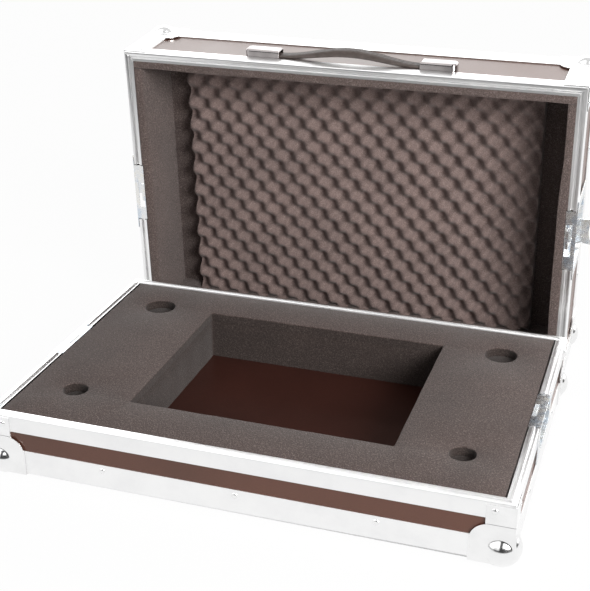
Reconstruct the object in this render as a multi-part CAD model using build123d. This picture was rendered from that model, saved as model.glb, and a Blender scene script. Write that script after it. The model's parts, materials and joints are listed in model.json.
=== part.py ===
from build123d import *
import os
from math import asin, atan2, cos, degrees, hypot, pi, sin

# A road case for a tabletop mixer: a shallow base with fitted foam and a deeper lift-off lid.
# Each half is drawn as a tray: closed face at z = 0, rim up at z = its height, the outer
# corner of the flat faces at x = 0, y = 0. u is the distance inwards from an outer face.
# All lengths are millimetres.

# Whole case, over the flat faces of the extrusions
CASE_W = 600.0
CASE_D = 400.0
BASE_H = 72.5
LID_H = 113.0

# Plywood panels and aluminium edge angles
PANEL = 7.0
SKIN = 1.5
ANGLE = 30.0
EDGE_ROUND = 1.2
WALL = SKIN + PANEL

# Rim extrusions: a cap over the panel edge, with a tongue on the base and a groove in the lid
RIM_TOP = 12.0
RIM_WALL = 20.0
RIM_LEG = 12.0
LEG_THICK = 1.5
TONGUE_IN = 5.0
TONGUE_W = 3.0
TONGUE_H = 2.5
TONGUE_GAP = 0.3
GROOVE_SPARE = 0.5
GROOVE_SHEET = 1.2
LATCH_GAP = 82.0

# Ball corners and corner brackets, pressed from steel sheet laid over the extrusions
SHEET = 1.2
BALL_R = 21.0
BALL_IN = 13.0
BALL_PLATE = 46.0
BALL_PLATE_ROUND = 22.0
CORNER_CUT = 4.4
BRACKET_LEG = 30.0
BRACKET_DROP = 2.5
BRACKET_GAP = 0.3

# Foam in the base: a top layer with the four foot holes over a layer with the well alone
FOOT_LAYER = 12.0
WELL_W = 312.0
WELL_D = 255.0
WELL_OFF_Y = 1.5
FOOT_SPAN = 458.0
REAR_FOOT_DIA = 40.0
REAR_FOOT_IN = 75.0
FRONT_FOOT_DIA = 30.0
FRONT_FOOT_IN = 81.5

# Foam in the lid: flat back, linings round the walls and a profiled sheet on the back
BACK_FOAM = 10.0
LINING = 10.0
EGG_W = 485.0
EGG_BASE = 8.0
EGG_BUMP = 20.0
EGG_CELL = 15.5
FOAM_GAP = 0.3

# Recessed dishes of the two butterfly latches (lid) and of their keepers (base)
DISH_HALF_W = 40.0
DISH_DEPTH = 12.0
DISH_ROUND = 8.0
DISH_LIP = 14.0
DISH_LIP_END = 6.5
LATCH_DISH_L = 70.0
KEEPER_DISH_L = 34.0
CUTOUT_GAP = 0.5
LATCH_WINDOW_W = 44.0
LATCH_WINDOW_D = 8.0
KEEPER_SLOT_W = 28.0
KEEPER_SLOT_D = 4.5

# Latch works: an eccentric turns half a turn and drives the hook out past the rim
LATCH_DROP = 36.0
LAYER_GAP = 0.4
THROW = 8.0
HOOK_THICK = 2.0
HOOK_HALF_W = 19.0
HOOK_TAIL = 25.0
HOOK_SHOULDER = 16.0
TONGUE_HALF_W = 12.5
HOOK_SHY = 1.0
HOOK_LIP = 1.6
DISC_R = 17.0
DISC_THICK = 1.8
SHAFT_R = 4.0
SHAFT_GAP = 0.5
SHAFT_BORE_GAP = 0.1
SHAFT_HEAD_R = 6.0
SHAFT_HEAD = 1.5
HEAD_ROOM = 1.0
DRIVE_PIN_R = 2.5
DRIVE_PIN_GAP = 0.2

# Folding wings on a cross pin carried by two lugs
PIN_R = 1.0
PIN_GAP = 0.05
KNUCKLE_R = 2.1
KNUCKLES = 4
KNUCKLE_GAP = 0.3
KNUCKLE_LAP = 1.0
LUG_IN = 13.0
LUG_THICK = 3.0
WING_REACH = 24.0
WING_NOTCH = 18.5
WING_ROOT_HALF_W = 15.0
WING_TIP_HALF_W = 18.0
WING_FROM_MID = 0.3

# Strap handle on the front wall of the lid
HANDLE_L = 276.0
CAP_L = 46.0
CAP_W = 19.0
CAP_H = 10.5
CAP_SHEET = 1.6
CAP_ROUND = 6.0
CAP_DROP = 20.6
STRAP_W = 15.0
STRAP_END_THICK = 4.5
STRAP_MID_THICK = 7.5
STRAP_RISE = 10.0
STRAP_GAP = 0.4
STRAP_SLIDE = 2.0
STRAP_GROOVE_SHARES = (0.2, 0.5, 0.8)
STRAP_GROOVE_W = 1.4
STRAP_GROOVE_DEPTH = 0.7
POST_R = 3.0
POST_IN = 16.0

# Where the lid stands: on its rear wall behind the base, on two ball corners and two brackets
LID_GAP = 40.0
LID_SHIFT = -4.2

# How far a cutter runs past the face that it cuts
OVERCUT = 1.0

FOAM_TOP = BACK_FOAM + WALL
LINING_IN = RIM_TOP + LINING
EGG_TOP = FOAM_TOP + EGG_BASE + EGG_BUMP
MITRE = max(ANGLE, RIM_TOP) + SHEET


def block(x0, x1, y0, y1, z0, z1):
    """A rectangular block between two corners."""
    centre = Pos((x0 + x1) / 2, (y0 + y1) / 2, (z0 + z1) / 2)
    return centre * Box(x1 - x0, y1 - y0, z1 - z0)


def rect(x0, x1, y0, y1):
    """A flat rectangle between two corners."""
    return Pos((x0 + x1) / 2, (y0 + y1) / 2) * Rectangle(x1 - x0, y1 - y0)


def nearest_vertex(sketch, x, y):
    """The vertex of a sketch that lies closest to a point."""
    return sketch.vertices().sort_by_distance((x, y, 0))[0]


def mitred(section, length):
    """Extrude a (u, z) section along X and mitre both ends at 45 degrees."""
    bar = extrude(Plane.YZ * section, length)
    span = section.bounding_box()
    plan = Polygon((-SHEET, -SHEET), (length + SHEET, -SHEET),
                   (length - MITRE, MITRE), (MITRE, MITRE), align=None)
    height = span.max.Y - span.min.Y
    return bar & Pos(0, 0, span.min.Y) * extrude(plan, height)


def on_wall(length):
    """Frame at the middle of a wall of this length."""
    return Pos(length / 2, 0, 0)


# A wall frame has X along the wall, Y inwards and Z up, and starts at one corner.
NEAR_WALL = (Location((0, 0, 0)), CASE_W)
FAR_WALL = (Location((CASE_W, CASE_D, 0), (0, 0, 180)), CASE_W)
LEFT_WALL = (Location((0, CASE_D, 0), (0, 0, -90)), CASE_D)
RIGHT_WALL = (Location((CASE_W, 0, 0), (0, 0, 90)), CASE_D)

# The lid lies upside down on the base when shut, so the near wall of its tray is its rear wall.
BASE_WALLS = {"front": NEAR_WALL, "rear": FAR_WALL, "left": LEFT_WALL, "right": RIGHT_WALL}
LID_WALLS = {"front": FAR_WALL, "rear": NEAR_WALL, "left": LEFT_WALL, "right": RIGHT_WALL}
LATCH_SIDES = ("left", "right")

NEAR_LEFT = Location((0, 0, 0))
NEAR_RIGHT = Location((CASE_W, 0, 0), (0, 0, 90))
FAR_RIGHT = Location((CASE_W, CASE_D, 0), (0, 0, 180))
FAR_LEFT = Location((0, CASE_D, 0), (0, 0, -90))
CORNERS = (NEAR_LEFT, NEAR_RIGHT, FAR_RIGHT, FAR_LEFT)
BASE_CORNERS = {"front_left": NEAR_LEFT, "front_right": NEAR_RIGHT,
                "rear_right": FAR_RIGHT, "rear_left": FAR_LEFT}
LID_CORNERS = {"front_left": FAR_LEFT, "front_right": FAR_RIGHT,
               "rear_right": NEAR_RIGHT, "rear_left": NEAR_LEFT}


def angle_section():
    """Equal angle, its outer corner rounded."""
    legs = rect(0, ANGLE, 0, SKIN) + rect(0, SKIN, 0, ANGLE)
    return fillet(nearest_vertex(legs, 0, 0), EDGE_ROUND)


def edge_angle(length):
    """Edge angle along one wall, its two outer corners filed off under the ball corners."""
    bar = mitred(angle_section(), length)
    bar = split(bar, Plane((CORNER_CUT, 0, 0), z_dir=(1, 1, 1)), keep=Keep.TOP)
    return split(bar, Plane((length - CORNER_CUT, 0, 0), z_dir=(-1, 1, 1)), keep=Keep.TOP)


def rim_section(grooved):
    """Rim extrusion, z = 0 at the rim plane; returns the section and its seat on the panel."""
    section = rect(0, SKIN, -RIM_WALL, 0) + rect(0, RIM_TOP, -SKIN, 0)
    section += rect(WALL, WALL + LEG_THICK, -RIM_LEG, 0)
    if not grooved:
        section += rect(TONGUE_IN, TONGUE_IN + TONGUE_W, -SKIN, TONGUE_H)
        return fillet(nearest_vertex(section, 0, 0), EDGE_ROUND), SKIN
    depth = TONGUE_H + GROOVE_SPARE
    left = TONGUE_IN - TONGUE_GAP
    right = TONGUE_IN + TONGUE_W + TONGUE_GAP
    seat = depth + GROOVE_SHEET
    section += rect(left - GROOVE_SHEET, right + GROOVE_SHEET, -seat, 0)
    section -= rect(left, right, -depth, OVERCUT)
    return fillet(nearest_vertex(section, 0, 0), EDGE_ROUND), seat


def dish_cutout(dish_length, height, u0, u1):
    """What a dish takes out of a wall piece, in the frame of the wall's middle."""
    half = DISH_HALF_W + CUTOUT_GAP
    return block(-half, half, u0, u1, height - dish_length - CUTOUT_GAP, height + OVERCUT)


def closed_panel():
    """Floor of the base or top of the lid, between the four wall panels."""
    return block(WALL, CASE_W - WALL, WALL, CASE_D - WALL, SKIN, WALL)


def wall_panel(name, length, height, seat, dish_length):
    """Wall panel; the side walls stand between the long walls and carry the dishes."""
    end = WALL if name in LATCH_SIDES else SKIN
    panel = block(end, length - end, SKIN, WALL, SKIN, height - seat)
    if name in LATCH_SIDES:
        panel -= on_wall(length) * dish_cutout(dish_length, height, 0, WALL + OVERCUT)
    return panel


def rim(name, length, height, grooved):
    """Rim extrusion along one wall; a side wall's is in two lengths with the dish between."""
    section, seat = rim_section(grooved)
    bar = Pos(0, 0, height) * mitred(section, length)
    if name in LATCH_SIDES:
        half = LATCH_GAP / 2
        low, high = height - RIM_WALL - OVERCUT, height + TONGUE_H + OVERCUT
        gap = block(-half, half, -OVERCUT, RIM_TOP + OVERCUT, low, high)
        bar -= on_wall(length) * gap
    return bar


def corner_angle(height):
    """Upright angle between the edge angle and the rim."""
    return Pos(0, 0, ANGLE) * extrude(angle_section(), height - RIM_WALL - ANGLE)


def corner_bracket(height):
    """Folded steel bracket that ties the rim joint to the upright angle."""
    outer = rect(-SHEET, BRACKET_LEG, -SHEET, BRACKET_LEG)
    outer = fillet(nearest_vertex(outer, -SHEET, -SHEET), SHEET)
    reach = BRACKET_LEG + OVERCUT
    section = outer - rect(0, reach, 0, reach)
    low = BALL_PLATE + BRACKET_GAP
    return Pos(0, 0, low) * extrude(section, height - BRACKET_DROP - low)


def ball_corner():
    """Three rounded plates and the ball that hides their corner, down to the extrusions."""
    outline = rect(-SHEET, BALL_PLATE, -SHEET, BALL_PLATE)
    outline = fillet(nearest_vertex(outline, BALL_PLATE, BALL_PLATE), BALL_PLATE_ROUND)
    plate = extrude(outline, -SHEET)
    diagonal = Axis((0, 0, 0), (1, 1, 1))
    plates = plate + plate.rotate(diagonal, 120) + plate.rotate(diagonal, 240)
    ball = Pos(BALL_IN, BALL_IN, BALL_IN) * Sphere(BALL_R)
    corner = block(-SHEET, BALL_IN, -SHEET, BALL_IN, -SHEET, BALL_IN)
    reach = BALL_PLATE + BALL_R
    case = block(0, reach, 0, reach, 0, reach)
    case = split(case, Plane((CORNER_CUT, 0, 0), z_dir=(1, 1, 1)), keep=Keep.TOP)
    return plates - (corner - ball) + ball - case


def well(height):
    """The fitted opening for the mixer's body."""
    middle = Pos(CASE_W / 2, CASE_D / 2 + WELL_OFF_Y, 0)
    return middle * block(-WELL_W / 2, WELL_W / 2, -WELL_D / 2, WELL_D / 2, 0, height + OVERCUT)


def keeper_pockets(height):
    """Room in the base foam behind the two keeper dishes."""
    depth = DISH_DEPTH + SHEET + FOAM_GAP
    cut = dish_cutout(KEEPER_DISH_L, height, 0, depth)
    return [frame * on_wall(length) * cut for frame, length in (LEFT_WALL, RIGHT_WALL)]


def foot_holes(height):
    """Four blind holes for the mixer's feet, wider at the rear."""
    rows = ((FRONT_FOOT_DIA, FRONT_FOOT_IN), (REAR_FOOT_DIA, CASE_D - REAR_FOOT_IN))
    holes = []
    for diameter, y in rows:
        for x in (-FOOT_SPAN / 2, FOOT_SPAN / 2):
            place = Pos(CASE_W / 2 + x, y, height - FOOT_LAYER / 2)
            holes.append(place * Cylinder(diameter / 2, FOOT_LAYER + 2 * OVERCUT))
    return holes


def base_foam_top(height):
    """Top layer, inside the lips of the rim."""
    layer = block(RIM_TOP, CASE_W - RIM_TOP, RIM_TOP, CASE_D - RIM_TOP, height - FOOT_LAYER, height)
    return layer - well(height) - foot_holes(height) - keeper_pockets(height)


def base_foam_bottom(height):
    """Lower layer, against the panels and under the rim's inner leg."""
    layer = block(WALL, CASE_W - WALL, WALL, CASE_D - WALL, WALL, height - FOOT_LAYER)
    return layer - well(height) - keeper_pockets(height)


def lining(name, length, height):
    """Lining strip of the lid, stepped past the rim's inner leg."""
    side = name in LATCH_SIDES
    low_end = LINING_IN if side else WALL
    high_end = LINING_IN if side else RIM_TOP
    step = height - RIM_LEG
    strip = block(low_end, length - low_end, WALL, LINING_IN, FOAM_TOP, step)
    strip += block(high_end, length - high_end, RIM_TOP, LINING_IN, step, height)
    if side:
        depth = DISH_DEPTH + SHEET + FOAM_GAP
        strip -= on_wall(length) * dish_cutout(LATCH_DISH_L, height, 0, depth)
        tail = depth + LAYER_GAP + SHAFT_HEAD
        head_room = Rot(-90, 0, 0) * Cylinder(SHAFT_HEAD_R + HEAD_ROOM, 2 * tail)
        strip -= Pos(length / 2, 0, height - LATCH_DROP) * head_room
    return strip


def lid_back_foam():
    """Flat foam over the whole inside of the lid's top."""
    return block(WALL, CASE_W - WALL, WALL, CASE_D - WALL, WALL, FOAM_TOP)


def egg_crate_foam():
    """Profiled sheet on the back foam: peaks and hollows in turn, as on a chessboard."""
    length = CASE_D - 2 * LINING_IN
    across = round(EGG_W / EGG_CELL)
    along = round(length / EGG_CELL)

    def knot(i, j, share):
        return (i * EGG_W / across, j * length / along, EGG_BASE + share * EGG_BUMP)

    def peak_or_hollow(i, j):
        return knot(i, j, (i + j + 1) % 2)

    faces = []
    for i in range(across):
        for j in range(along):
            middle = knot(i + 0.5, j + 0.5, 0.5)
            ring = [(i, j), (i + 1, j), (i + 1, j + 1), (i, j + 1), (i, j)]
            knots = [peak_or_hollow(*place) for place in ring]
            faces += [Face(Wire.make_polygon([a, b, middle])) for a, b in zip(knots, knots[1:])]
    corners = [(0, 0), (across, 0), (across, along), (0, along), (0, 0)]
    for (i0, j0), (i1, j1) in zip(corners, corners[1:]):
        steps = abs(i1 - i0) + abs(j1 - j0)
        across_step, along_step = (i1 - i0) // steps, (j1 - j0) // steps
        top = [peak_or_hollow(i0 + k * across_step, j0 + k * along_step) for k in range(steps + 1)]
        ends = [(top[-1][0], top[-1][1], 0), (top[0][0], top[0][1], 0)]
        faces.append(Face(Wire.make_polygon(top + ends)))
    faces.append(Face(Wire.make_polygon([(*knot(i, j, 0)[:2], 0) for i, j in corners[:4]])))
    return Pos((CASE_W - EGG_W) / 2, LINING_IN, FOAM_TOP) * Solid(Shell(faces))


def dish(length):
    """Recessed dish with a lip on the wall face; rim plane at z = 0, outer face at y = 0."""
    half = DISH_HALF_W
    pan = rect(-half, half, -length, 0)
    for x in (-half, half):
        pan = fillet(nearest_vertex(pan, x, -length), DISH_ROUND)
    inner = rect(-half + SHEET, half - SHEET, SHEET - length, -SHEET)
    for x in (SHEET - half, half - SHEET):
        inner = fillet(nearest_vertex(inner, x, SHEET - length), DISH_ROUND - SHEET)
    lip = rect(-half - DISH_LIP, half + DISH_LIP, -length - DISH_LIP_END, 0)
    for x in (-half - DISH_LIP, half + DISH_LIP):
        lip = fillet(nearest_vertex(lip, x, -length - DISH_LIP_END), DISH_ROUND / 2)
    # A sketch on XZ has its y upwards, and its normal points out of the wall.
    body = extrude(Plane.XZ * pan, -DISH_DEPTH - SHEET) + extrude(Plane.XZ * lip, SHEET)
    return body - Pos(0, -SHEET, 0) * extrude(Plane.XZ * inner, -DISH_DEPTH - SHEET)


def latch_dish():
    """Dish of the latch: a window for the hook and a bearing hole for the shaft."""
    half = LATCH_WINDOW_W / 2
    window = block(-half, half, DISH_DEPTH - LATCH_WINDOW_D, DISH_DEPTH, -SHEET - OVERCUT, OVERCUT)
    bore = Rot(90, 0, 0) * Cylinder(SHAFT_R + SHAFT_BORE_GAP, 2 * (SHEET + OVERCUT))
    bore = Pos(0, DISH_DEPTH, -LATCH_DROP) * bore
    return dish(LATCH_DISH_L) - window - bore


def keeper_dish():
    """Dish of the keeper, with the slot that the hook's tongue enters."""
    half = KEEPER_SLOT_W / 2
    slot = block(-half, half, DISH_DEPTH - KEEPER_SLOT_D, DISH_DEPTH, -SHEET - OVERCUT, OVERCUT)
    return dish(KEEPER_DISH_L) - slot


# Depths of the latch works, from the dish's floor outwards
HOOK_BACK = DISH_DEPTH - LAYER_GAP
HOOK_FRONT = HOOK_BACK - HOOK_THICK
DISC_BACK = HOOK_FRONT - LAYER_GAP
DISC_FRONT = DISC_BACK - DISC_THICK
PIN_DEPTH = DISC_FRONT - KNUCKLE_GAP - KNUCKLE_R
HEAD_FRONT = DISH_DEPTH + SHEET + LAYER_GAP


def round_bar(radius, y0, y1, z=0.0):
    """A round bar along Y."""
    return Pos(0, (y0 + y1) / 2, z) * Rot(90, 0, 0) * Cylinder(radius, y1 - y0)


def latch_rotor():
    """Disc, shaft, drive pin, and the lugs with their cross pin, about the shaft's axis."""
    rotor = round_bar(DISC_R, DISC_FRONT, DISC_BACK)
    rotor += round_bar(SHAFT_R, DISC_BACK, HEAD_FRONT)
    rotor += round_bar(SHAFT_HEAD_R, HEAD_FRONT, HEAD_FRONT + SHAFT_HEAD)
    rotor += round_bar(DRIVE_PIN_R, DISC_BACK, HOOK_BACK - DRIVE_PIN_GAP, -THROW)
    for x in (-LUG_IN - LUG_THICK, LUG_IN):
        lug = block(x, x + LUG_THICK, PIN_DEPTH, DISC_FRONT, -KNUCKLE_R, KNUCKLE_R)
        nose = Pos(x + LUG_THICK / 2, PIN_DEPTH, 0) * Rot(0, 90, 0)
        rotor += lug + nose * Cylinder(KNUCKLE_R, LUG_THICK)
    cross_pin = Pos(0, PIN_DEPTH, 0) * Rot(0, 90, 0) * Cylinder(PIN_R, 2 * LUG_IN + LUG_THICK)
    return rotor + cross_pin


def latch_wing(first_knuckle):
    """One wing, standing out of the dish, with every second knuckle on the cross pin."""
    root = -KNUCKLE_R - KNUCKLE_GAP
    sides = [Line((-WING_ROOT_HALF_W, root), (WING_ROOT_HALF_W, root)),
             Line((WING_ROOT_HALF_W, root), (WING_TIP_HALF_W, -WING_REACH)),
             ThreePointArc((WING_TIP_HALF_W, -WING_REACH), (0, -WING_NOTCH),
                           (-WING_TIP_HALF_W, -WING_REACH)),
             Line((-WING_TIP_HALF_W, -WING_REACH), (-WING_ROOT_HALF_W, root))]
    thick = KNUCKLE_R - WING_FROM_MID
    wing = Pos(0, 0, WING_FROM_MID) * extrude(make_face(sides), thick)
    pitch = 2 * LUG_IN / KNUCKLES
    barrels = []
    for i in range(first_knuckle, KNUCKLES, 2):
        x0 = -LUG_IN + i * pitch + KNUCKLE_GAP / 2
        x1 = x0 + pitch - KNUCKLE_GAP
        barrel = Pos((x0 + x1) / 2, 0, 0) * Rot(0, 90, 0) * Cylinder(KNUCKLE_R, x1 - x0)
        barrels.append(barrel + block(x0, x1, root - KNUCKLE_LAP, 0, WING_FROM_MID, KNUCKLE_R))
    wing += barrels
    bore = Rot(0, 90, 0) * Cylinder(PIN_R + PIN_GAP, 2 * LUG_IN)
    return Pos(0, PIN_DEPTH, 0) * (wing - bore)


def latch_hook():
    """Sliding hook: a slot along its travel for the shaft and one across for the drive pin."""
    # The joint runs at a steady rate while the real pin moves as a cosine, and this is the
    # most that the two differ by.
    quarter = asin(2 / pi)
    lag = THROW * (2 * quarter / pi - (1 - cos(quarter)))
    tip = LATCH_DROP - HOOK_SHY
    plate = rect(-HOOK_HALF_W, HOOK_HALF_W, -HOOK_TAIL, HOOK_SHOULDER)
    plate += rect(-TONGUE_HALF_W, TONGUE_HALF_W, HOOK_SHOULDER, tip)
    slot_r = SHAFT_R + SHAFT_GAP
    slot = rect(-slot_r, slot_r, -2 * THROW, 0) + Circle(slot_r) + Pos(0, -2 * THROW) * Circle(slot_r)
    half_h = DRIVE_PIN_R + lag + DRIVE_PIN_GAP
    half_w = THROW + DRIVE_PIN_R + SHAFT_GAP
    slot += rect(-half_w, half_w, -THROW - half_h, -THROW + half_h)
    body = extrude(Plane.XZ * (plate - slot), -HOOK_THICK)
    lip = block(-TONGUE_HALF_W, TONGUE_HALF_W, -HOOK_LIP, 0, tip - HOOK_THICK, tip)
    return Pos(0, HOOK_FRONT, 0) * (body + lip)


def handle_cap():
    """End cap over the strap's tail, its mouth towards the middle of the handle."""
    outer_x = HANDLE_L / 2
    inner_x = outer_x - CAP_L
    middle = -CAP_DROP - CAP_W / 2
    cap = block(inner_x, outer_x, SKIN - CAP_H, SKIN, middle - CAP_W / 2, middle + CAP_W / 2)
    cap = fillet(cap.edges().filter_by(Axis.Y).group_by(Axis.X)[-1], CAP_ROUND)
    cap = chamfer(cap.edges().group_by(Axis.Y)[0], CAP_SHEET)
    ceiling = SKIN - CAP_H + CAP_SHEET
    half = STRAP_W / 2 + STRAP_GAP
    room_end = outer_x - CAP_SHEET - CAP_ROUND / 2
    mouth = inner_x - OVERCUT
    cap -= block(mouth, room_end, ceiling, SKIN + OVERCUT, middle - half, middle + half)
    return cap + Pos(outer_x - POST_IN, 0, middle) * round_bar(POST_R, ceiling, SKIN)


def strap_edge(lift, mid_lift):
    """One long edge of the strap seen from above: flat tails and a shallow arch between."""
    mouth = HANDLE_L / 2 - CAP_L
    tail = HANDLE_L / 2 - CAP_SHEET - CAP_ROUND / 2 - STRAP_SLIDE - STRAP_GAP
    low = SKIN - lift
    arch = Spline((-mouth, low), (0, SKIN - mid_lift), (mouth, low), tangents=[(1, 0), (1, 0)])
    return tail, low, mouth, arch


def strap_face(lift_a, mid_a, lift_b, mid_b):
    """Area between two strap edges."""
    tail, low_a, mouth, arch_a = strap_edge(lift_a, mid_a)
    tail, low_b, mouth, arch_b = strap_edge(lift_b, mid_b)
    edges = [Line((-tail, low_a), (-mouth, low_a)), arch_a, Line((mouth, low_a), (tail, low_a)),
             Line((tail, low_a), (tail, low_b)), Line((tail, low_b), (mouth, low_b)), arch_b,
             Line((-mouth, low_b), (-tail, low_b)), Line((-tail, low_b), (-tail, low_a))]
    return make_face(edges)


def handle_strap():
    """Strap grooved along its back; its tails are slotted round the posts of the caps."""
    low, mid = STRAP_GAP, STRAP_RISE
    high, crest = low + STRAP_END_THICK, mid + STRAP_MID_THICK
    bottom = -CAP_DROP - (CAP_W + STRAP_W) / 2
    strap = Pos(0, 0, bottom) * extrude(strap_face(low, mid, high, crest), STRAP_W)
    depth = STRAP_GROOVE_DEPTH
    groove = strap_face(high - depth, crest - depth, high + OVERCUT, crest + OVERCUT)
    for share in STRAP_GROOVE_SHARES:
        z = bottom + share * STRAP_W - STRAP_GROOVE_W / 2
        strap -= Pos(0, 0, z) * extrude(groove, STRAP_GROOVE_W)
    slot_r = POST_R + STRAP_GAP
    slot = block(-STRAP_SLIDE, STRAP_SLIDE, -CAP_H, CAP_H, -slot_r, slot_r)
    for end in (-STRAP_SLIDE, STRAP_SLIDE):
        slot += Pos(end, 0, 0) * round_bar(slot_r, -CAP_H, CAP_H)
    for side in (-1, 1):
        strap -= Pos(side * (HANDLE_L / 2 - POST_IN), 0, -CAP_DROP - CAP_W / 2) * slot
    return strap


def half_case(prefix, height, walls, corners, grooved, dish_length, place):
    """Panels, extrusions, brackets and ball corners of one half of the case."""
    seat = rim_section(grooved)[1]
    nodes = {}
    for name, (frame, length) in walls.items():
        panel = wall_panel(name, length, height, seat, dish_length)
        nodes[f"{prefix}_{name}_panel"] = frame * panel
        nodes[f"{prefix}_edge_{name}"] = frame * edge_angle(length)
        nodes[f"{prefix}_rim_{name}"] = frame * rim(name, length, height, grooved)
    for name, frame in corners.items():
        nodes[f"{prefix}_ball_corner_{name}"] = frame * ball_corner()
    angles = [frame * corner_angle(height) for frame in CORNERS]
    brackets = [frame * corner_bracket(height) for frame in CORNERS]
    nodes[f"{prefix}_corner_angles"] = Compound(angles)
    nodes[f"{prefix}_corner_brackets"] = Compound(brackets)
    return {name: place * shape for name, shape in nodes.items()}


def lid_tilt():
    """Forward lean of the lid, standing on its two lower ball corners and its two brackets."""
    behind = LID_H - BRACKET_DROP - BALL_IN
    over = BALL_IN + SHEET
    return asin(BALL_R / hypot(over, behind)) - atan2(over, behind)


def lid_lift():
    """Height of the lid's rim edge above the floor, as its brackets hold it."""
    return SHEET * cos(lid_tilt()) - BRACKET_DROP * sin(lid_tilt())


BASE_PLACE = Pos(-CASE_W / 2, -CASE_D / 2, BALL_R - BALL_IN)
LID_PLACE = (Pos(LID_SHIFT - CASE_W / 2, CASE_D / 2 + LID_GAP, lid_lift())
             * Rot(90 + degrees(lid_tilt()), 0, 0) * Pos(0, 0, -LID_H))


def base_nodes():
    """The base with its foam and its two keepers."""
    nodes = half_case("base", BASE_H, BASE_WALLS, BASE_CORNERS, False, KEEPER_DISH_L, BASE_PLACE)
    nodes["base_floor_panel"] = BASE_PLACE * closed_panel()
    nodes["base_foam_top"] = BASE_PLACE * base_foam_top(BASE_H)
    nodes["base_foam_bottom"] = BASE_PLACE * base_foam_bottom(BASE_H)
    for side in LATCH_SIDES:
        frame, length = BASE_WALLS[side]
        nodes[f"keeper_dish_{side}"] = BASE_PLACE * frame * Pos(length / 2, 0, BASE_H) * keeper_dish()
    return nodes


def lid_nodes():
    """The lid with its foam, its handle and its two latches."""
    nodes = half_case("lid", LID_H, LID_WALLS, LID_CORNERS, True, LATCH_DISH_L, LID_PLACE)
    nodes["lid_top_panel"] = LID_PLACE * closed_panel()
    nodes["lid_back_foam"] = LID_PLACE * lid_back_foam()
    nodes["egg_crate_foam"] = LID_PLACE * egg_crate_foam()
    for name, (frame, length) in LID_WALLS.items():
        nodes[f"lid_lining_{name}"] = LID_PLACE * frame * lining(name, length, LID_H)
    frame, length = LID_WALLS["front"]
    middle = LID_PLACE * frame * Pos(length / 2, 0, LID_H)
    cap = handle_cap()
    nodes["handle_caps"] = middle * Compound([cap, mirror(cap, Plane.YZ)])
    nodes["handle_strap"] = middle * handle_strap()
    for side in LATCH_SIDES:
        frame, length = LID_WALLS[side]
        rim_middle = LID_PLACE * frame * Pos(length / 2, 0, LID_H)
        shaft = rim_middle * Pos(0, 0, -LATCH_DROP)
        nodes[f"latch_dish_{side}"] = rim_middle * latch_dish()
        nodes[f"latch_rotor_{side}"] = shaft * latch_rotor()
        nodes[f"latch_hook_{side}"] = shaft * latch_hook()
        nodes[f"latch_wing_{side}_rim"] = shaft * latch_wing(0)
        nodes[f"latch_wing_{side}_top"] = shaft * mirror(latch_wing(1), Plane.XY)
    return nodes


def main():
    """Write one STEP file per node."""
    os.makedirs("parts", exist_ok=True)
    for name, shape in {**base_nodes(), **lid_nodes()}.items():
        export_step(shape, f"parts/{name}.step")


main()
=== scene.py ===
# %% [markdown]
# # A mixer case, dressed round its CAD model
# The case is an open road case: a shallow base with fitted foam in front, and the lift-off lid
# standing behind it on its rear wall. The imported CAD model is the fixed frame. Every piece made
# here takes its place from the same sizes, in metres, and rides on one of the CAD bodies.

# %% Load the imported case
import json
import math

import bmesh
import bpy
from mathutils import Matrix, Vector, noise

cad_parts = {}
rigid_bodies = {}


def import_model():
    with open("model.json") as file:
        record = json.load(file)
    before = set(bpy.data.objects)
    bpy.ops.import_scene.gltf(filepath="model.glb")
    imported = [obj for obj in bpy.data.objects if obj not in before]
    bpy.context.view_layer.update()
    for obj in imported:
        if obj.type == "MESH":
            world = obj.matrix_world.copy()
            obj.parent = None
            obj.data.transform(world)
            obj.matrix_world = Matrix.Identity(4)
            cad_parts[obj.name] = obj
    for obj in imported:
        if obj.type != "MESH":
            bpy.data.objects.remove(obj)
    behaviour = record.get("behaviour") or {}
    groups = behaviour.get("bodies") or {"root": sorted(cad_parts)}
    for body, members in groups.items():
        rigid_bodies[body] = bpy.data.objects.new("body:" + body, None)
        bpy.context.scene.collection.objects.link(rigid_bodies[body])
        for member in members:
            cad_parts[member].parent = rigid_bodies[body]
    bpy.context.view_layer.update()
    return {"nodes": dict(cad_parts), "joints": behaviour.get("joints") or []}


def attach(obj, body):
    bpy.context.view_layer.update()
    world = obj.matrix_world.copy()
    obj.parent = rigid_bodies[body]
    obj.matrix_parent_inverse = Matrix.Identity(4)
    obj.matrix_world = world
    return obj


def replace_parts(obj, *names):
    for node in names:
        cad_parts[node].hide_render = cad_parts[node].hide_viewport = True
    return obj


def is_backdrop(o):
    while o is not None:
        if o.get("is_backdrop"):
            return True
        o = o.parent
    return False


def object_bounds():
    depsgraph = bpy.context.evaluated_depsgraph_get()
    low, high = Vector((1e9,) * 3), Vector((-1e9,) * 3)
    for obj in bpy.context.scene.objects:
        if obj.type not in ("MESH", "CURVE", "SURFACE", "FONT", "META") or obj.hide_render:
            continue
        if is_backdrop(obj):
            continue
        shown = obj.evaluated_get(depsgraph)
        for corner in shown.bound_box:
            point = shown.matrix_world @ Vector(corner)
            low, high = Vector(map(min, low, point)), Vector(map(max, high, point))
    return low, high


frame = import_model()

# %% [markdown]
# The lid and the base are drawn as two trays: closed face at z = 0, rim up, outer corner at the
# origin. Two matrices carry a tray to where it stands. The lean of the lid is read from the
# slide of its latch hook, so it always agrees with the CAD.

# %% Where the two trays stand
CASE_W, CASE_D = 0.600, 0.400
BASE_H, LID_H = 0.0725, 0.113
SKIN, WALL, SHEET = 0.0015, 0.0085, 0.0012
BRACKET_DROP = 0.0025
LID_SHIFT, LID_GAP = -0.0042, 0.0400
BASE_LIFT = 0.008

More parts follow.
